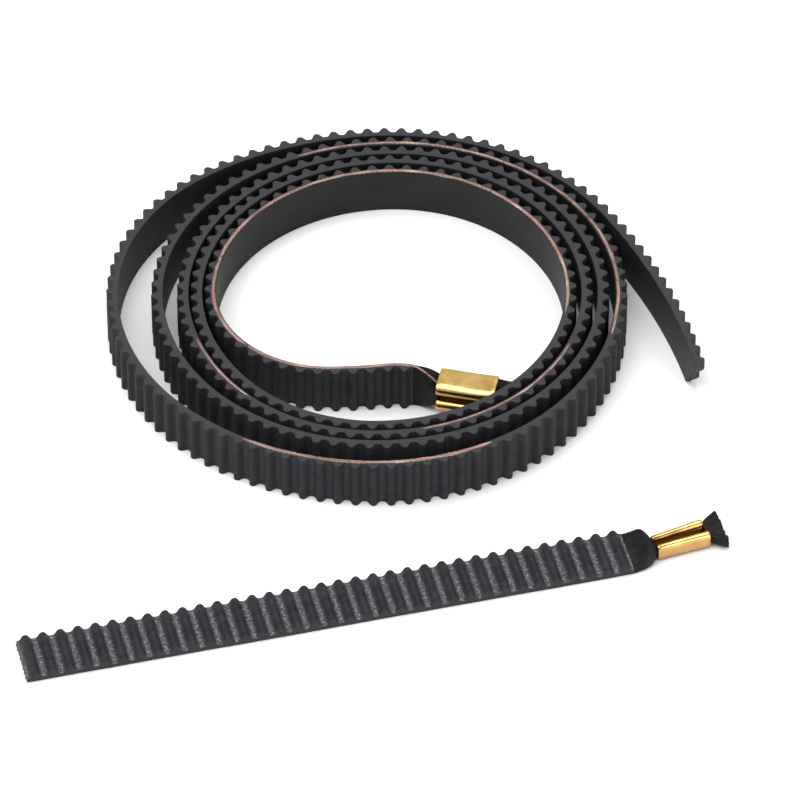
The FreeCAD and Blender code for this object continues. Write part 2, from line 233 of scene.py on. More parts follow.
def on_coil(s, h, z):
    """Belt coordinates of the long belt (arrays, millimetres) to points in the frame."""
    x, y, heading = COIL.at(s)
    px = x - h * np.sin(heading) + COIL_CENTRE[0]
    py = y + h * np.cos(heading) + COIL_CENTRE[1]
    return np.stack([px, py, z + 0 * px], -1) * MM


def on_strip(s, h, z):
    """Belt coordinates of the short length to points in the frame. It lies teeth up."""
    turn = math.radians(STRIP_HEADING)
    across = WIDTH / 2 - z
    px = s * math.cos(turn) - across * math.sin(turn) + STRIP_START[0]
    py = s * math.sin(turn) + across * math.cos(turn) + STRIP_START[1]
    return np.stack([px, py, h - H_BACK + 0 * px], -1) * MM


# ------------------------------------------------------------------ meshes
def mesh_object(name, points, faces, uvs, face_slots, materials, sharp):
    """A mesh of points and uvs given ring by ring, with edges sharper than an angle kept."""
    mesh = bpy.data.meshes.new(name)
    mesh.from_pydata(points.reshape(-1, 3).tolist(), [], faces)
    layer = mesh.uv_layers.new(name="belt")
    loops = np.zeros(len(mesh.loops), np.int32)
    mesh.loops.foreach_get("vertex_index", loops)
    layer.data.foreach_set("uv", uvs.reshape(-1, 2).astype(np.float32)[loops].ravel())
    for material in materials:
        mesh.materials.append(material)
    mesh.polygons.foreach_set("material_index", np.asarray(face_slots, np.int32))
    mesh.shade_smooth()
    mesh.set_sharp_from_angle(angle=math.radians(sharp))
    mesh.validate()
    piece = bpy.data.objects.new(name, mesh)
    bpy.context.scene.collection.objects.link(piece)
    return piece


def side_faces(rings, around):
    """Vertex numbers of the rings, and the quads between each ring and the next."""
    index = np.arange(rings * around).reshape(rings, around)
    following = np.roll(index, -1, axis=1)
    quads = np.stack([index[:-1], following[:-1], following[1:], index[1:]], -1)
    return index, quads.reshape(-1, 4).tolist()


def tube(name, points, uvs, materials, ring_slots=None, cap_slot=0, sharp=35):
    """A closed skin over rings: points and uvs are (rings, around, 3) and (rings, around, 2)."""
    rings, around = points.shape[:2]
    index, faces = side_faces(rings, around)
    faces += [index[0][::-1].tolist(), index[-1].tolist()]
    face_slots = list(ring_slots or [0] * around) * (rings - 1) + [cap_slot] * 2
    return mesh_object(name, points, faces, uvs, face_slots, materials, sharp)


def sheet_tube(name, points, uvs, materials):
    """A tube of rolled sheet, whose end faces are strips of quads between its two sides."""
    rings, around = points.shape[:2]
    index, faces = side_faces(rings, around)
    for ring, flip in ((index[0], True), (index[-1], False)):
        for k in range(around // 2 - 1):
            quad = [ring[k], ring[k + 1], ring[around - 2 - k], ring[around - 1 - k]]
            faces.append([int(i) for i in (quad[::-1] if flip else quad)])
    return mesh_object(name, points, faces, uvs, [0] * len(faces), materials, sharp=40)


def join(name, pieces):
    """Makes one piece of several, under one name."""
    bpy.ops.object.select_all(action="DESELECT")
    for piece in pieces:
        piece.select_set(True)
    bpy.context.view_layer.objects.active = pieces[0]
    bpy.ops.object.join()
    joined = bpy.context.view_layer.objects.active
    joined.name = name
    joined.data.name = name
    return joined


# ------------------------------------------------------------------ tooth profile
def arc_points(centre, radius, start, end, count):
    angles = np.linspace(start, end, count)
    return [(centre[0] + radius * math.cos(a), centre[1] + radius * math.sin(a)) for a in angles]


def pitch_cell(cover):
    """(along, height over land) through one pitch from land to land, `cover` under the skin."""
    crown = CROWN_RADIUS - cover
    root = ROOT_RADIUS + cover
    crown_centre = (0.0, TOOTH_HEIGHT - CROWN_RADIUS)
    root_centre = ((PITCH - LAND) / 2, ROOT_RADIUS)
    rise = root_centre[1] - crown_centre[1]
    apart = math.hypot(root_centre[0], rise)
    lean = math.atan2(rise, root_centre[0]) + math.acos((CROWN_RADIUS + ROOT_RADIUS) / apart)
    half = arc_points(crown_centre, crown, math.pi / 2, lean, 5)
    half += arc_points(root_centre, root, math.pi + lean, 1.5 * math.pi, 4)
    left = [(-x, y) for x, y in reversed(half[1:])]
    return np.array([(-PITCH / 2, -cover)] + left + half)


def profile(start, teeth, cover):
    """Stations and heights of the toothed surface over a row of teeth, ending on a land."""
    cell = pitch_cell(cover)
    first = start + PITCH * (np.arange(teeth) + 0.5)
    stations = (first[:, None] + cell[None, :, 0]).ravel()
    heights = np.tile(cell[:, 1], teeth)
    stations = np.append(stations, start + teeth * PITCH)
    heights = np.append(heights, -cover)
    return stations, heights + H_LAND


def wander(stations, depth, seed):
    """A slow unevenness along the belt, the same for every layer of it."""
    waves = ((31.0, 0.5), (17.3, 0.3), (7.1, 0.2))
    total = np.zeros_like(stations)
    for number, (length, share) in enumerate(waves):
        total += share * np.sin(2 * math.pi * stations / length + seed + 1.7 * number)
    return depth * total


def pairs(along, across):
    """Texture coordinates from two arrays, or an array and a number."""
    return np.stack(np.broadcast_arrays(along, across), -1)


def belt_rubber(name, place, start, teeth, seed):
    """Backing and tooth cores as one moulding, with its two cut edges.

    The ring is (height, level, material) for each line along the belt, in order round its
    section. The material is that of the faces between a line and the next.
    """
    stations, front = profile(start, teeth, FACING)
    top = WIDTH + wander(stations, EDGE_WANDER, seed)
    moulded, cut = 0, 1
    ring = (
        (H_BACK, EDGE_ROUND, moulded),
        (H_BACK, WIDTH / 3, moulded),
        (H_BACK, WIDTH * 2 / 3, moulded),
        (H_BACK, top - EDGE_ROUND, moulded),
        (H_BACK + EDGE_ROUND, top, cut),
        (CORD_BAND[0], top + EDGE_PROUD, cut),
        (CORD_BAND[1], top + EDGE_PROUD, cut),
        (front, top, moulded),
        (front, 0.0, cut),
        (0.0, 0.0, cut),
        (H_BACK + EDGE_ROUND, 0.0, moulded),
    )
    points = np.stack([place(stations, h, z) for h, z, _ in ring], 1)
    uvs = np.stack([pairs(stations, z + 2.0 * h) for h, z, _ in ring], 1)
    slots = [slot for _, _, slot in ring]
    piece = tube(name, points, uvs, [RUBBER, CUT_EDGE], slots, cap_slot=cut)
    return piece


def belt_facing(name, place, start, teeth, seed):
    """The woven nylon skin over teeth and lands, with its own thickness.

    The ring is (station, height, level) for each line along it, in order round its section.
    """
    outer_s, outer_h = profile(start, teeth, 0.0)
    inner_s, inner_h = profile(start, teeth, FACING)
    top = WIDTH + wander(outer_s, EDGE_WANDER, seed)
    on_crest = outer_h > H_LAND + 0.4 * TOOTH_HEIGHT
    outer_h = outer_h + wander(outer_s, CREST_WANDER, seed + 2.0) * on_crest
    middle_s = (outer_s + inner_s) / 2
    middle_h = (outer_h + inner_h) / 2
    ring = (
        (middle_s, middle_h, 0.0),
        (inner_s, inner_h, 0.0),
        (inner_s, inner_h, top),
        (middle_s, middle_h, top + EDGE_PROUD),
        (outer_s, outer_h, top - 0.02),
        (outer_s, outer_h, WIDTH * 2 / 3),
        (outer_s, outer_h, WIDTH / 3),
        (outer_s, outer_h, 0.03),
    )
    points = np.stack([place(s, h, z) for s, h, z in ring], 1)
    uvs = np.stack([pairs(s - start, z) for s, h, z in ring], 1)
    return tube(name, points, uvs, [WEAVE])


def edge_cord(name, place, start, end, half_width, seed, fade=1.5, line=None):
    """A tension cord laid bare along the upper cut edge, where the knife ran along it.

    `line` gives its height in the section and above the table at each station. The cord
    dwindles over `fade` at its two ends, or runs on at full width if that is zero.
    """
    draw = np.random.default_rng(seed)
    count = max(8, int((end - start) / BARE_STEP))
    stations = np.linspace(start, end, count)
    spare = np.minimum(stations - start, end - stations)
    ends = np.minimum(1.0, spare / fade + 0.05) if fade else np.ones(count)
    uneven = np.convolve(draw.normal(0, 1, count + 8), np.ones(9) / 3.0, "valid")
    drift = 0.02 * np.convolve(draw.normal(0, 1, count + 24), np.ones(25) / 5.0, "valid")
    middle, top = line(stations) if line else (BARE_HEIGHT, WIDTH)
    width = half_width * ends
    if fade:
        middle = middle + drift
        width = width * (1 + 0.10 * uneven)
    lines = []
    uvs = []
    for k in range(CORD_SIDES):
        angle = 2 * math.pi * k / CORD_SIDES
        lift = 0.07 if math.sin(angle) > 0 else 0.05
        twist = 1 + 0.10 * np.sin(2 * math.pi * stations / STRAND_LAY + 2 * angle)
        height = middle + width * math.cos(angle) * twist
        level = top + 0.01 + lift * math.sin(angle) * ends * twist
        lines.append(place(stations, height, level))
        uvs.append(pairs(stations, k / CORD_SIDES))
    piece = tube(name, np.stack(lines, 1), np.stack(uvs, 1), [GLASS_CORD], sharp=80)
    return piece


def cord_tips(name, place, station, outward, slant=0.0):
    """The cords' ends in a belt's cut end, each a little proud and frayed."""
    draw = np.random.default_rng(TIP_SEED)
    rings = np.array([-0.4, 0.0, 0.7, 1.0])
    shrink = np.array([1.0, 1.0, 0.95, 0.6])
    angles = 2 * math.pi * np.arange(CORD_SIDES) / CORD_SIDES
    tips = []
    for k in range(CORD_COUNT):
        z = WIDTH / CORD_COUNT * (k + 0.5)
        reach = outward * (0.05 + 0.12 * draw.random())
        frayed = 1 + 0.15 * draw.normal(0, 1, CORD_SIDES)
        s = station - slant * (1 - z / WIDTH) + np.outer(rings * reach, np.ones(CORD_SIDES))
        radius = np.outer(shrink * CORD_RADIUS, frayed)
        h = radius * np.cos(angles)
        up = z + radius * np.sin(angles)
        points = place(s.ravel(), h.ravel(), up.ravel()).reshape(len(rings), CORD_SIDES, 3)
        tips.append(tube(f"{name}_{k}", points, pairs(s, up), [SMEARED_CORD], sharp=50))
    return join(name, tips)


# ------------------------------------------------------------------ materials
WHITE = (1.0, 1.0, 1.0)
BLACK = (0.0, 0.0, 0.0)


class Nodes:
    """Short ways to build one material's node tree."""

    def __init__(self, name):
        self.material = bpy.data.materials.new(name)
        self.material.use_nodes = True
        self.tree = self.material.node_tree
        self.shader = self.tree.nodes["Principled BSDF"]

    def node(self, kind, inputs=None, **settings):
        made = self.tree.nodes.new(kind)
        for key, value in settings.items():
            setattr(made, key, value)
        for key, value in (inputs or {}).items():
            self.put(made.inputs[key], value)
        return made

    def put(self, socket, value):
        if isinstance(value, bpy.types.NodeSocket):
            self.tree.links.new(value, socket)
        else:
            socket.default_value = value

    def math(self, operation, a, b=0.0):
        return self.node("ShaderNodeMath", {0: a, 1: b}, operation=operation).outputs[0]

    def scaled(self, value, factor, offset):
        inputs = {0: value, 1: factor, 2: offset}
        return self.node("ShaderNodeMath", inputs, operation="MULTIPLY_ADD").outputs[0]

    def axis(self, vector, number):
        return self.node("ShaderNodeSeparateXYZ", {0: vector}).outputs[number]

    def uv(self, scale=(1.0, 1.0, 1.0)):
        source = self.node("ShaderNodeUVMap", uv_map="belt").outputs[0]
        return self.node("ShaderNodeMapping", {0: source, 3: scale}).outputs[0]

    def place(self, scale):
        source = self.node("ShaderNodeTexCoord").outputs["Object"]
        return self.node("ShaderNodeMapping", {0: source, 3: (scale, scale, scale)}).outputs[0]

    def noise(self, vector, scale, detail=4.0, roughness=0.6):
        inputs = {"Vector": vector, "Scale": scale, "Detail": detail, "Roughness": roughness}
        return self.node("ShaderNodeTexNoise", inputs).outputs["Fac"]

    def ramp(self, value, stops):
        made = self.node("ShaderNodeValToRGB", {0: value})
        elements = made.color_ramp.elements
        while len(elements) < len(stops):
            elements.new(0.5)
        for element, (position, colour) in zip(elements, stops):
            element.position = position
            element.color = (*colour, 1.0)
        return made.outputs[0]

    def mix(self, share, a, b):
        inputs = {0: share, 6: a, 7: b}
        for key, value in inputs.items():
            inputs[key] = (*value, 1.0) if isinstance(value, tuple) else value
        return self.node("ShaderNodeMix", inputs, data_type="RGBA").outputs[2]

    def bump(self, height, strength, distance, **under):
        inputs = {"Strength": strength, "Distance": distance, "Height": height, **under}
        return self.node("ShaderNodeBump", inputs).outputs[0]

    def finish(self, **inputs):
        """Sets the shader's sockets, whose names have spaces where these have _."""
        for key, value in inputs.items():
            self.put(self.shader.inputs[key.replace("_", " ")], value)
        return self.material


def rubber_material():
    """Moulded chloroprene: near black, matt, with fine grinding lines across the back."""
    n = Nodes("moulded_rubber")
    cloud = n.noise(n.uv((0.16, 0.35, 1.0)), 1.0, 5.0)
    lines = n.noise(n.uv((9.0, 0.5, 1.0)), 1.0, 3.0)
    grain = n.noise(n.uv(), 14.0, 4.0)
    dark = n.ramp(cloud, [(0.30, (0.009, 0.0085, 0.0095)), (0.72, (0.017, 0.016, 0.0175))])
    colour = n.mix(n.math("MULTIPLY", lines, 0.35), dark, (0.024, 0.023, 0.025))
    rough = n.scaled(grain, 0.16, 0.50)
    ground = n.bump(lines, 0.25, 0.00003)
    normal = n.bump(grain, 0.30, 0.00002, Normal=ground)
    return n.finish(Base_Color=colour, Roughness=rough, Normal=normal, Specular_IOR_Level=0.16)


def cut_edge_material():
    """The knife-cut edge: greyer and rougher than the moulded faces, with drag marks."""
    n = Nodes("cut_rubber_edge")
    drag = n.noise(n.uv((0.8, 16.0, 1.0)), 1.0, 4.0)
    speck = n.noise(n.uv(), 11.0, 5.0, 0.7)
    cloud = n.noise(n.uv((0.22, 0.3, 1.0)), 1.0, 3.0)
    grey = n.ramp(speck, [(0.30, (0.024, 0.024, 0.026)), (0.70, (0.058, 0.057, 0.062))])
    colour = n.mix(n.math("MULTIPLY", cloud, 0.5), grey, (0.040, 0.039, 0.042))
    height = n.math("ADD", n.math("MULTIPLY", drag, 0.6), speck)
    normal = n.bump(height, 0.45, 0.00004)
    return n.finish(Base_Color=colour, Roughness=0.78, Normal=normal, Specular_IOR_Level=0.12)


def weave_material(name, crowns, lands):
    """Woven nylon over the teeth: paler and flecked in the lands, rubbed dark on the crowns."""
    n = Nodes(name)
    along, across = (n.axis(n.uv(), number) for number in (0, 1))
    phase = n.math("MULTIPLY", along, 2 * math.pi / PITCH)
    land = n.math("POWER", n.scaled(n.math("COSINE", phase), 0.5, 0.5), 3.0)
    warp = n.math("SINE", n.math("MULTIPLY", along, 2 * math.pi / THREAD))
    weft = n.math("SINE", n.math("MULTIPLY", across, 2 * math.pi / THREAD))
    weave = n.scaled(n.math("MULTIPLY", warp, weft), 0.5, 0.5)
    fleck = n.noise(n.uv(), 3.2, 6.0, 0.75)
    smear = n.noise(n.uv((0.3, 0.9, 1.0)), 1.0, 4.0)
    crown = n.ramp(smear, [(0.32, crowns[0]), (0.70, crowns[1])])
    floor = n.ramp(fleck, [(0.38, lands[0]), (0.52, lands[1]), (0.66, lands[2])])
    colour = n.mix(land, crown, floor)
    colour = n.mix(n.math("MULTIPLY", weave, 0.30), colour, (0.011, 0.0105, 0.012))
    height = n.math("ADD", weave, n.math("MULTIPLY", fleck, 0.8))
    normal = n.bump(height, 0.55, 0.00004)
    rough = n.scaled(fleck, 0.25, 0.50)
    return n.finish(Base_Color=colour, Roughness=rough, Normal=normal, Specular_IOR_Level=0.16)


def cord_material(name, smeared):
    """Twisted glass fibre in its pink-brown latex coat, crossed by smears of rubber, with painted
    shade between the strands.
    """
    n = Nodes(name)
    along = n.math("MULTIPLY", n.axis(n.uv(), 0), 2 * math.pi / STRAND_LAY)
    around = n.math("MULTIPLY", n.axis(n.uv(), 1), 4 * math.pi)
    strand = n.scaled(n.math("SINE", n.math("ADD", along, around)), 0.5, 0.5)
    fibre = n.noise(n.uv((3.0, 60.0, 1.0)), 1.0, 3.0)
    coat = n.noise(n.uv((0.35, 2.0, 1.0)), 1.0, 3.0)
    smear = n.noise(n.uv((1.15, 0.6, 1.0)), 1.0, 2.0, 0.4)
    shades = ((0.35, (0.17, 0.085, 0.060)), (0.52, (0.30, 0.17, 0.14)), (0.70, (0.54, 0.37, 0.31)))
    pink = n.ramp(coat, shades)
    # painted shade: the coat darkens in the grooves between the twisted strands
    between = n.math("MULTIPLY", n.math("SUBTRACT", 1.0, strand), 0.30)
    colour = n.mix(between, pink, (0.12, 0.055, 0.035))
    tick = n.ramp(smear, ((smeared, WHITE), (smeared + 0.06, BLACK)))
    colour = n.mix(tick, colour, (0.035, 0.022, 0.018))
    height = n.math("ADD", strand, n.math("MULTIPLY", fibre, 0.5))
    normal = n.bump(height, 0.6, 0.00004)
    return n.finish(Base_Color=colour, Roughness=0.42, Normal=normal, Sheen_Weight=0.1)


def brass_material():
    """Bright rolled brass: drawn lines, faint tarnish, painted shade in the groove and on the
    undersides.
    """
    n = Nodes("rolled_brass")
    drawn = n.noise(n.uv((0.25, 14.0, 1.0)), 1.0, 4.0)
    stain = n.noise(n.place(420.0), 1.0, 4.0)
    pits = n.noise(n.place(5200.0), 1.0, 3.0)
    shades = ((0.30, (0.70, 0.43, 0.12)), (0.55, (0.90, 0.62, 0.20)), (0.75, (0.95, 0.71, 0.30)))
    metal = n.ramp(stain, shades)
    colour = n.mix(n.math("MULTIPLY", drawn, 0.25), metal, (0.78, 0.50, 0.16))
    # painted shade: darker near the sheet's leg tips, down in the groove between the lobes
    from_tip = n.axis(n.uv(), 1)
    depth = n.math("ADD", n.math("MULTIPLY", from_tip, 0.5), n.math("MULTIPLY", stain, 0.3))
    groove_shade = n.ramp(depth, ((0.54, WHITE), (0.80, BLACK)))
    colour = n.mix(groove_shade, colour, (0.14, 0.075, 0.020))
    # painted shade: darker where the surface faces down, dimming its reflection of the floor
    facing_up = n.axis(n.node("ShaderNodeNewGeometry").outputs["Normal"], 2)
    dim = n.ramp(n.scaled(facing_up, 0.5, 0.5), ((0.40, WHITE), (0.74, BLACK)))
    colour = n.mix(n.math("MULTIPLY", dim, 0.85), colour, (0.33, 0.155, 0.090))
    rough = n.scaled(stain, 0.16, 0.13)
    height = n.math("ADD", n.math("MULTIPLY", drawn, 0.5), n.math("MULTIPLY", pits, 0.3))
    normal = n.bump(height, 0.12, 0.00003)
    return n.finish(Base_Color=colour, Metallic=1.0, Roughness=rough, Normal=normal)


def worn_rubber_material():
    """Belt rubber bruised by the crimping tool: creased, with paler scuffs."""
    n = Nodes("bruised_rubber")
    scuff = n.noise(n.place(900.0), 1.0, 6.0, 0.7)
    crease = n.noise(n.uv((0.7, 2.2, 1.0)), 1.0, 5.0, 0.65)
    dark, dim, pale = (0.003, 0.003, 0.004), (0.007, 0.007, 0.008), (0.045, 0.045, 0.050)
    colour = n.ramp(scuff, ((0.40, dark), (0.60, dim), (0.76, pale)))
    height = n.math("ADD", n.math("MULTIPLY", crease, 1.5), scuff)
    normal = n.bump(height, 0.7, 0.00012)
    return n.finish(Base_Color=colour, Roughness=0.55, Normal=normal, Specular_IOR_Level=0.18)


def floor_material():
    """A pale table top, barely uneven in tone."""
    n = Nodes("pale_table")
    cloud = n.noise(n.place(30.0), 1.0, 3.0)
    tone = n.ramp(cloud, ((0.3, (0.90, 0.90, 0.90)), (0.7, (0.93, 0.93, 0.93))))
    return n.finish(Base_Color=tone, Roughness=0.9, Specular_IOR_Level=0.1)


RUBBER = rubber_material()
CUT_EDGE = cut_edge_material()
WEAVE = weave_material(
    "woven_nylon", ((0.019, 0.018, 0.0215), (0.035, 0.0325, 0.039)),
    ((0.027, 0.026, 0.031), (0.045, 0.043, 0.050), (0.074, 0.071, 0.081)),
)
DUSTY_WEAVE = weave_material(
    "dusty_nylon", ((0.014, 0.0135, 0.016), (0.034, 0.033, 0.039)),
    ((0.022, 0.022, 0.026), (0.115, 0.113, 0.126), (0.38, 0.375, 0.40)),
)
GLASS_CORD = cord_material("glass_fibre_cord", 0.30)
SMEARED_CORD = cord_material("smeared_cord_ends", 0.60)
BRASS = brass_material()
WORN_RUBBER = worn_rubber_material()


# ------------------------------------------------------------------ crimped ends
def sheet_line(sizes, scale):
    """Middle line of the rolled sheet's section, leg tip to leg tip, in (across, up) pairs.

    Each half runs from its leg's tip out and over its lobe, down its side, round the bend
    and in along the flat to the middle.
    """
    half = FERRULE_WALL / 2
    lobe = sizes["lobe"] * scale
    radius = lobe - half
    lobe_out = sizes["width"] * scale / 2 - lobe
    lobe_up = sizes["depth"] / 2 - lobe
    side = sizes["width"] * scale / 2 - half
    flat = half - sizes["depth"] / 2
    bend = max(lobe / 2, FERRULE_WALL) - half + BEND_INSIDE
    tip = SEAM / 2 + half
    into = lobe_out - radius - tip
    points = [(tip + into * (1 - t), lobe_up - LEG_DEPTH * t) for t in (1.0, 0.8, 0.6, 0.4, 0.2)]
    for angle in np.linspace(math.pi, 0.0, 21):
        points.append((lobe_out + radius * math.cos(angle), lobe_up + radius * math.sin(angle)))
    points += [(side, lobe_up + t * (flat + bend - lobe_up)) for t in (0.25, 0.5, 0.75)]
    for angle in np.linspace(0.0, -math.pi / 2, 7):
        points.append((side - bend + bend * math.cos(angle), flat + bend + bend * math.sin(angle)))
    points += [((side - bend) * t, flat) for t in (0.66, 0.33)]
    right = np.array(points)
    return np.vstack([right, [(0.0, flat)], right[::-1] * (-1, 1)])


def offset_line(line, distance):
    ahead = np.gradient(line, axis=0)
    ahead /= np.linalg.norm(ahead, axis=1)[:, None]
    return line + distance * np.stack([-ahead[:, 1], ahead[:, 0]], -1)


def crimp_frame(place, mouth, sense, sizes):
    """Maps ferrule coordinates (out from the belt, up, across) to points in the frame."""
    cant = math.radians(sizes["cant"])

    def put(out, up, across, share=1.0):
        turn = share * cant
        along = out * math.cos(turn) + across * math.sin(turn)
        aside = across * math.cos(turn) - out * math.sin(turn) + share * sizes["shift"]
        return place(mouth + sense * along, up + sizes["height"], WIDTH / 2 + aside)
    return put


def ferrule_piece(name, put, sense, sizes):
    """The rolled sheet, with its groove between two lobes, worn lips and pressed-in sides."""
    rows = []
    uvs = []
    for step in FERRULE_STEPS:
        line = sheet_line(sizes, sizes["mouth"] + (1 - sizes["mouth"]) * step)
        run = np.concatenate([[0.0], np.cumsum(np.linalg.norm(np.diff(line, axis=0), axis=1))])
        from_tip = np.minimum(run, run[-1] - run)
        lip = min(1.0, min(step, 1.0 - step) / 0.03)
        half = FERRULE_WALL / 2 * (1 - 0.35 * (1 - lip) ** 2)
        loop = np.vstack([offset_line(line, half), offset_line(line, -half)[::-1]])
        belly = math.sin(math.pi * step)
        across = loop[:, 0] * (1 - 0.030 * belly ** 2)
        dent = 0.025 * np.sin(5.0 * step + 2.0 * loop[:, 0]) * belly
        out = np.full(len(loop), step * sizes["length"])
        rows.append(put(out, loop[:, 1] * (1 + 0.02 * belly) + dent, across))
        # the girth distance from the leg tips also places the brass's painted groove shade
        uvs.append(pairs(out, np.concatenate([from_tip, from_tip[::-1]])))
    points = np.stack(rows, 0)[:, ::-sense]
    uvs = np.stack(uvs, 0)[:, ::-sense]
    return sheet_tube(name, points, uvs, [BRASS])


def rounded_section(half_across, half_up, squareness):
    """A superellipse round the belt's section, as its points' places across and up."""
    angles = 2 * math.pi * (np.arange(SECTION_POINTS) + 0.5) / SECTION_POINTS
    across = np.sign(np.cos(angles)) * np.abs(np.cos(angles)) ** (2 / squareness)
    up = np.sign(np.sin(angles)) * np.abs(np.sin(angles)) ** (2 / squareness)
    return half_across * across, half_up * up


def smooth(t):
    return t * t * (3 - 2 * t)


def taper_section(out, sizes, core):
    """The belt narrowing and folding in from its own section to the ferrule's mouth."""
    belt_half = (H_LAND - H_BACK) / 2
    belt_middle = (H_LAND + H_BACK) / 2 - sizes["height"]
    t = 1 + out / sizes["taper"]
    ease = smooth(t)
    near, far = (
        WIDTH / 2 * (1 - t ** sizes[side]) + core.mouth * t ** sizes[side] for side in ("near", "far")
    )
    half_up = (1 - ease) * belt_half + ease * core.half_up * sizes["fill"]
    half_up += sizes["bulge"] * math.sin(math.pi * t ** 2.4)
    return SimpleNamespace(
        half_across=(near + far) / 2, centre=(near - far) / 2, half_up=half_up,
        middle=(1 - ease) * belt_middle, squareness=9 - 5 * ease,
        crease=sizes["crease"] * math.sin(math.pi * t) ** 0.7 * belt_half / half_up,
        notch=0.0, share=ease, slope=sizes["slope"] * ease,
    )


def pressed_section(out, sizes, core):
    """The belt pressed to the inside of the ferrule, grooved where the sheet's edges bite."""
    step = out / sizes["length"]
    half_up = 0.94 * core.half_up
    return SimpleNamespace(
        half_across=0.97 * (core.mouth + (core.half_across - core.mouth) * step), centre=0.0,
        half_up=half_up, middle=0.0, squareness=4.0, crease=0.0,
        notch=min(1.0, (out - 0.1) / 0.3) * (1 - core.groove / half_up), share=1.0, slope=0.0,
    )


def stub_section(out, sizes, core):
    """The cut stub bursting out of the ferrule."""
    t = max(0.0, (out - sizes["length"]) / core.stub)
    burst = min(1.0, t / 0.85) ** 0.85
    spread = sizes["stub_start"] + (sizes["stub_end"] - sizes["stub_start"]) * burst
    return SimpleNamespace(
        half_across=core.half_across * spread, centre=sizes["stub_shift"] * burst,
        half_up=core.half_up * sizes["stub_depth"] * (0.9 + 0.1 * burst),
        middle=sizes["lean"] * (0.7 + 0.3 * t), squareness=5.0, crease=0.05 + 0.06 * t,
        notch=0.0, share=1.0, slope=0.0,
    )


def crimped_piece(name, put, sense, sizes, seed):
    """The belt's last stretch, bunched in to the ferrule and bursting out as a cut stub."""
    draw = np.random.default_rng(seed)
    phases = draw.uniform(0, 2 * math.pi, 4)
    length = sizes["length"]
    core = SimpleNamespace(
        half_across=sizes["width"] / 2 - FERRULE_WALL,
        mouth=sizes["mouth"] * sizes["width"] / 2 - FERRULE_WALL,
        half_up=sizes["depth"] / 2 - FERRULE_WALL,
        groove=sizes["depth"] / 2 - sizes["lobe"] - LEG_DEPTH - 0.2,
        stub=sizes["stub"] + sizes["stub_over"],
    )
    outs = np.concatenate([
        np.linspace(-sizes["taper"], 0.0, 30),
        [0.12, 0.3, 0.5],
        np.linspace(1.0, length - 0.3, 5),
        np.linspace(length - 0.05, length + core.stub, 13),
    ])
    rows = []
    uvs = []
    for out in outs:
        if out <= 0:
            cut = taper_section(out, sizes, core)
        elif out < length - STUB_INSIDE:
            cut = pressed_section(out, sizes, core)
        else:
            cut = stub_section(out, sizes, core)
        across, up = rounded_section(cut.half_across, cut.half_up, cut.squareness)
        upper = up > 0
        lie = across / cut.half_across
        folds = sum(
            depth * np.sin(over * lie + phase + along * out)
            for (over, along, depth), phase in zip(FOLD_WAVES, phases)
        )
        up = up * (1 + cut.crease * folds * upper)
        off_groove = smooth(np.clip((np.abs(across) / sizes["lobe"] - 0.55) / 0.55, 0.0, 1.0))
        up = up * (1 - cut.notch * (1 - off_groove) * upper)
        toward_teeth = np.clip((up + 0.5) / 1.2, 0.0, 1.0)
        across = across - cut.slope * toward_teeth * (across > 0)
        up = up - 0.4 * cut.slope * (up < 0)
        slanted = out - max(0.0, out - length) / core.stub * sizes["slant"] * across
        rows.append(put(slanted, up + cut.middle, across + cut.centre, cut.share))
        uvs.append(pairs(out, across + 3 * up))
    points = np.stack(rows, 0)
    fray = draw.normal(0, 1, (len(FRAY_SHARES), SECTION_POINTS, 3))
    points[-len(FRAY_SHARES):] += fray * np.array(FRAY_SHARES)[:, None, None] * FRAY * MM
    uvs = np.stack(uvs, 0)[:, ::sense]
    piece = tube(name, points[:, ::sense], uvs, [WORN_RUBBER], sharp=50)
    return piece


def build_crimp(name, place, mouth, sense, sizes, seed, body):
    """A ferrule and the belt's end crimped in it. Sense is 1 if stations run on out of the belt."""
    put = crimp_frame(place, mouth, sense, sizes)
    sheet = ferrule_piece(f"{name}_ferrule_sheet", put, sense, sizes)
    end = crimped_piece(f"{name}_crimped_rubber", put, sense, sizes, seed)
    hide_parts(f"{name}_ferrule")
    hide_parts(f"{name}_crimped_end")
    for piece in (sheet, end):
        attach(piece, body)


# ------------------------------------------------------------------ putting the belts together
def layered(name, place, start, teeth, seed):
    """The two pieces of a length of belt: its rubber, and the facing on it."""
    rubber = belt_rubber(f"{name}_rubber", place, start, teeth, seed)
    facing = belt_facing(f"{name}_facing_skin", place, start, teeth, seed)
    return rubber, facing


def stand_for(pieces, node):
    """Hides a length's CAD backing, cord bed, teeth and cords, drawn now by the rubber piece, and its
    facing, drawn by the other.
    """
    rubber, facing = pieces
    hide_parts(f"{node}_backing", f"{node}_cord_bed", f"{node}_teeth")
    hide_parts(f"{node}_facing")
    if f"{node}_cords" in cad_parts:
        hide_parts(f"{node}_cords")


def flexing(pieces, place, hinge):
    """Bakes each piece's transform into its mesh; points either side of the hinge are worked out but
    nothing is bent.
    """
    stations = np.array([hinge - HINGE_SPREAD, hinge + HINGE_SPREAD])
    start, end = place(stations, 0.0, WIDTH / 2)
    for piece in pieces:
        tuple(start)
        tuple(end)
        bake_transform(piece)


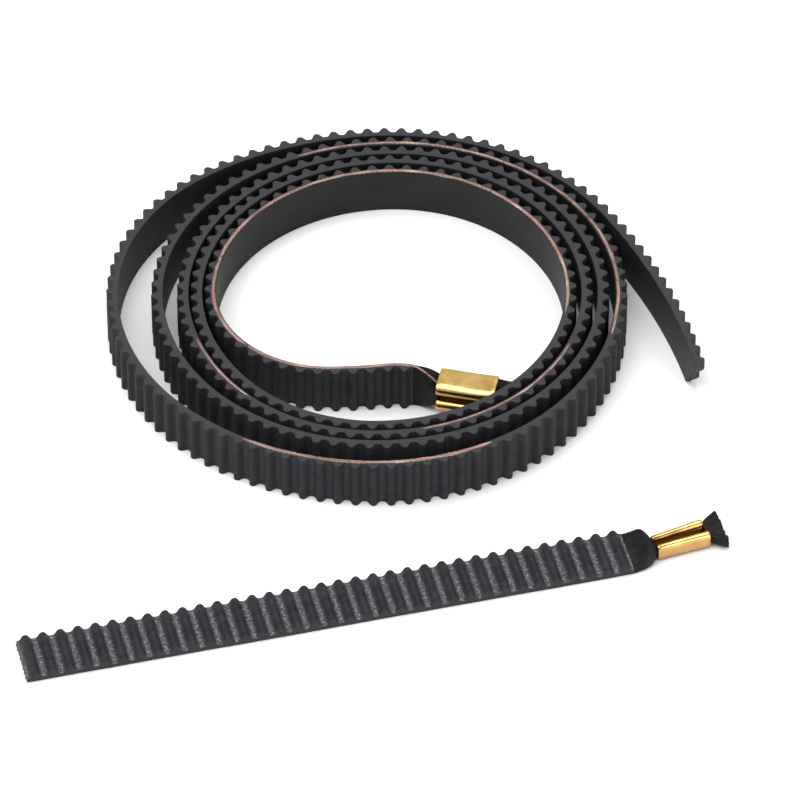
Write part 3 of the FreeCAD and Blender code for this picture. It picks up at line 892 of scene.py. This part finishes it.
def cut_on_slant(piece, place, station, slot):
    """Cuts a length's end off on the tail's slant, and closes it with a face in that slot."""
    lower, beyond = place(np.array([station - TAIL_SLANT, station]), 0.0, 0.0)
    upper = place(np.array([station]), 0.0, WIDTH)[0]
    edge = Vector(upper - lower)
    ahead = Vector(beyond - lower)
    across = ahead.cross(Vector((0.0, 0.0, 1.0)))
    normal = edge.cross(across).normalized()
    if normal.dot(ahead) < 0:
        normal.negate()
    bm = bmesh.new()
    bm.from_mesh(piece.data)
    layer = bm.loops.layers.uv["belt"]
    everything = bm.verts[:] + bm.edges[:] + bm.faces[:]
    cut = bmesh.ops.bisect_plane(
        bm, geom=everything, plane_co=Vector(lower), plane_no=normal, clear_outer=True
    )
    rim = [item for item in cut["geom_cut"] if isinstance(item, bmesh.types.BMEdge)]
    for face in bmesh.ops.contextual_create(bm, geom=rim, mat_nr=slot)["faces"]:
        face.material_index = slot
        face.smooth = False
        face.normal_update()
        if face.normal.dot(normal) < 0:
            face.normal_flip()
        for loop in face.loops:
            offset = (loop.vert.co - Vector(lower)) / MM
            loop[layer].uv = (offset.dot(across.normalized()), offset.z)
    bm.to_mesh(piece.data)
    bm.free()
    piece.data.set_sharp_from_angle(angle=math.radians(35))


def build_coil():
    """The long belt: its wound part, the bending links at both ends, and its crimp."""
    link = LINK_TEETH * PITCH
    half = LINK_TEETH // 2
    wound_start = LEAD_LENGTH + LEAD_LINKS * link
    wound_teeth = COIL_TEETH - (LEAD_LINKS + TAIL_LINKS) * LINK_TEETH - TAIL_TIP_TEETH
    wound_end = wound_start + wound_teeth * PITCH
    tail_end = wound_end + TAIL_LINKS * link + TAIL_TIP_TEETH * PITCH
    main = layered("coil", on_coil, wound_start + half * PITCH, wound_teeth - 2 * half, COIL_SEED)
    for piece in main:
        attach(piece, "coil")
    stand_for(main, "coil")
    for number in range(1, LEAD_LINKS + 1):
        hinge = wound_start - (number - 1) * link
        last = number == LEAD_LINKS
        start = hinge - (link if last else half * PITCH)
        teeth = half + (LINK_TEETH if last else half)
        pieces = layered(f"lead_bend_{number}", on_coil, start, teeth, COIL_SEED)
        stand_for(pieces, f"lead_{number}")
        flexing(pieces, on_coil, hinge)
    for number in range(1, TAIL_LINKS + 1):
        hinge = wound_end + (number - 1) * link
        last = number == TAIL_LINKS
        teeth = half + (LINK_TEETH + TAIL_TIP_TEETH if last else half)
        pieces = layered(f"tail_bend_{number}", on_coil, hinge - half * PITCH, teeth, COIL_SEED)
        if last:
            cut_on_slant(pieces[0], on_coil, tail_end, 1)
            cut_on_slant(pieces[1], on_coil, tail_end, 0)
        stand_for(pieces, f"tail_{number}")
        flexing(pieces, on_coil, hinge)
    tips = cord_tips("tail_cord_tips", on_coil, tail_end, 1, TAIL_SLANT)
    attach(tips, f"tail_{TAIL_LINKS}")
    for number in range(1, CORD_COUNT + 1):
        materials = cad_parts[f"coil_cord_{number}"].data.materials
        materials.clear()
        materials.append(GLASS_CORD)
    mouth = LEAD_LENGTH - COIL_CRIMP["taper"]
    build_crimp("coil", on_coil, mouth, -1, COIL_CRIMP, COIL_CRIMP_SEED, f"lead_{LEAD_LINKS}")
    return wound_start


def bare_cords(wound_start):
    """Where the knife laid a cord bare on the upper edge, on four of the turns and the lead."""
    turn = quarter_stations()
    link = LINK_TEETH * PITCH
    first = wound_start + link / 2
    stretches = (
        ("inner_turn_bare_cord", first, turn[0][2] + 4.0, 0.19, 21),
        ("third_turn_bare_cord_left", turn[1][3] + 16.0, turn[2][0] - 8.0, 0.13, 22),
        ("third_turn_bare_cord_right", turn[1][2] + 9.0, turn[1][3] - 5.0, 0.14, 23),
        ("fourth_turn_bare_cord", turn[3][1] - 12.0, turn[3][2] + 8.0, 0.16, 24),
        ("outer_turn_bare_cord", turn[3][3] - 14.0, turn[3][3] + 16.0, 0.22, 25),
    )
    for name, start, end, half_width, seed in stretches:
        piece = edge_cord(name, on_coil, start, end, half_width, seed)
        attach(piece, "coil")
    outer = edge_cord("lead_bare_cord_1", on_coil, wound_start - link / 2, first, 0.17, 31, 0)
    flexing([outer], on_coil, wound_start)
    inner = edge_cord("lead_bare_cord_2", on_coil, LEAD_LENGTH, wound_start - link / 2, 0.16, 32, 0)
    flexing([inner], on_coil, wound_start - link)

    def into_mouth(stations):
        """Height and level of the cord that follows the taper down into the ferrule."""
        t = np.clip((LEAD_LENGTH - stations) / COIL_CRIMP["taper"], 0.0, 1.0)
        drop = WIDTH / 2 - (COIL_CRIMP["width"] / 2 - FERRULE_WALL)
        sunk = drop * t ** COIL_CRIMP["near"] + 0.7 * COIL_CRIMP["slope"] * smooth(t)
        return BARE_HEIGHT + 0.5 * t, WIDTH + 0.02 - sunk

    mouth = LEAD_LENGTH - COIL_CRIMP["taper"]
    dip = edge_cord("lead_bare_cord_3", on_coil, mouth - 0.3, LEAD_LENGTH, 0.15, 33, 0, into_mouth)
    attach(dip, "lead_2")


def build_strip():
    """The short length: its resting run, the bend, its lifting tip, and its crimp."""
    split = STRIP_RUN_TEETH * PITCH
    tip_end = split + STRIP_TIP_TEETH * PITCH
    half = LINK_TEETH // 2
    run = layered("strip_run", on_strip, 0.0, STRIP_RUN_TEETH - half, STRIP_SEED)
    bend = layered("strip_bend", on_strip, split - half * PITCH, 2 * half, STRIP_SEED)
    tip = layered("strip_tip_end", on_strip, split + half * PITCH, STRIP_TIP_TEETH - half, STRIP_SEED)
    for _, skin in (run, bend, tip):
        skin.data.materials[0] = DUSTY_WEAVE
    for pieces, body in ((run, "strip_run"), (tip, "strip_tip")):
        for piece in pieces:
            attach(piece, body)
        stand_for(pieces, body)
    flexing(bend, on_strip, split)
    tips = cord_tips("strip_cord_tips", on_strip, 0.0, -1)
    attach(tips, "strip_run")
    mouth = tip_end + STRIP_CRIMP["taper"]
    build_crimp("strip", on_strip, mouth, 1, STRIP_CRIMP, STRIP_CRIMP_SEED, "strip_tip")


# ------------------------------------------------------------------ the stage
TABLE_HALF = 3.0
TABLE_LEVEL = -0.00002       # just below the belts, so that no two faces share a plane


def build_stage():
    """A pale table, a white surround and three soft round lights."""
    mesh = bpy.data.meshes.new("table_top")
    quarters = ((-1, -1), (1, -1), (1, 1), (-1, 1))
    corners = [(TABLE_HALF * x, TABLE_HALF * y, TABLE_LEVEL) for x, y in quarters]
    mesh.from_pydata(corners, [], [(0, 1, 2, 3)])
    table = bpy.data.objects.new("table_top", mesh)
    mesh.materials.append(floor_material())
    bpy.context.scene.collection.objects.link(table)
    world = bpy.data.worlds.new("studio")
    bpy.context.scene.world = world
    world.use_nodes = True
    background = world.node_tree.nodes["Background"]
    background.inputs[0].default_value = (*WHITE, 1.0)
    background.inputs[1].default_value = 0.60
    add_light("key", (-0.30, -0.10, 0.80), 0.90, 7.2)
    add_light("fill", (0.55, -0.45, 0.40), 0.50, 1.5)
    add_light("back", (0.20, 0.35, 0.80), 0.40, 2.0)


def add_light(name, at, size, power):
    data = bpy.data.lights.new(name, "AREA")
    data.shape = "DISK"
    data.size = size
    data.energy = power
    light = bpy.data.objects.new(name, data)
    light.location = at
    light.rotation_mode = "QUATERNION"
    light.rotation_quaternion = (-Vector(at)).to_track_quat("-Z", "Y")
    bpy.context.scene.collection.objects.link(light)


def build_camera():
    """A long lens, looking down at the two belts from in front."""
    elevation = math.radians(44.2)
    distance = 0.830
    target = Vector((0.00270, 0.00236, 0.0))
    back = Vector((0.0, -math.cos(elevation), math.sin(elevation)))
    data = bpy.data.cameras.new("camera")
    data.lens = 322.7
    data.sensor_width = 36.0
    data.clip_start = 0.05
    data.clip_end = 20.0
    camera = bpy.data.objects.new("camera", data)
    camera.location = target + back * distance
    camera.rotation_euler = (math.pi / 2 - elevation, 0.0, 0.0)
    bpy.context.scene.collection.objects.link(camera)
    bpy.context.scene.camera = camera


bpy.context.scene.view_settings.view_transform = "Standard"
build_camera()
build_stage()
bare_cords(build_coil())
build_strip()
